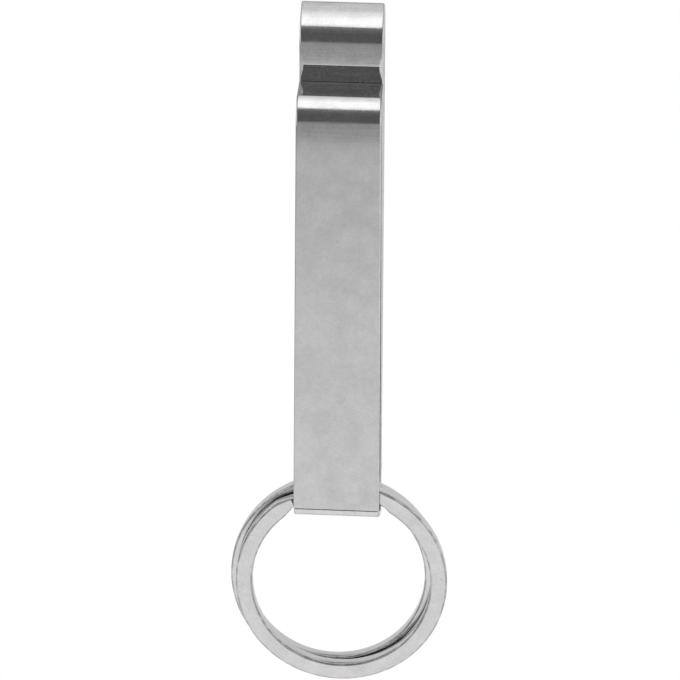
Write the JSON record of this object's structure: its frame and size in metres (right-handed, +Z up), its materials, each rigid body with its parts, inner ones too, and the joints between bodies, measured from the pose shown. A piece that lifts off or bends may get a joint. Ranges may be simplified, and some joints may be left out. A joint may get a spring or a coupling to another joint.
{
  "type": "belt key clip",
  "caption": "Bent spring-steel strip with a belt hook, a sprung front gate and a square fold that carries a split key ring.",
  "frame": {"origin": "top of the hook's inside, at the middle of the strip, where the upper edge of a belt comes to rest", "axes": "+Z up as the clip hangs on a belt, -Y to the front (the panel's face), +X to the right seen from the front"},
  "size_m": [0.0318, 0.0165, 0.1022],
  "materials": {
    "plated_strip": "polished nickel plate with fine scratches and light wear",
    "plated_ring": "polished nickel plate with fine scratches"
  },
  "bodies": {
    "clip_body": {"clip_body": "plated_strip"},
    "front_gate": {"front_gate": "plated_strip"},
    "belt_leg": {"belt_leg": "plated_strip"},
    "split_ring": {"split_ring": "plated_ring"}
  },
  "joints": [
    {"name": "gate_flex", "type": "hinge", "parent": "clip_body", "child": "front_gate", "pos_m": [0, -0.01307, -0.0756], "axis": [1, 0, 0], "range_deg": [0, 6], "stiffness_Nm_per_rad": 1, "springref_deg": -2.01},
    {"name": "leg_flex", "type": "hinge", "parent": "clip_body", "child": "belt_leg", "pos_m": [0, 0.002, -0.0012], "axis": [1, 0, 0], "range_deg": [0, 6], "stiffness_Nm_per_rad": 1, "springref_deg": -2.01},
    {"name": "ring_swing", "type": "hinge", "parent": "clip_body", "child": "split_ring", "pos_m": [0, -0.00857, -0.0723], "axis": [1, 0, 0], "range_deg": [-140, 60]}
  ]
}
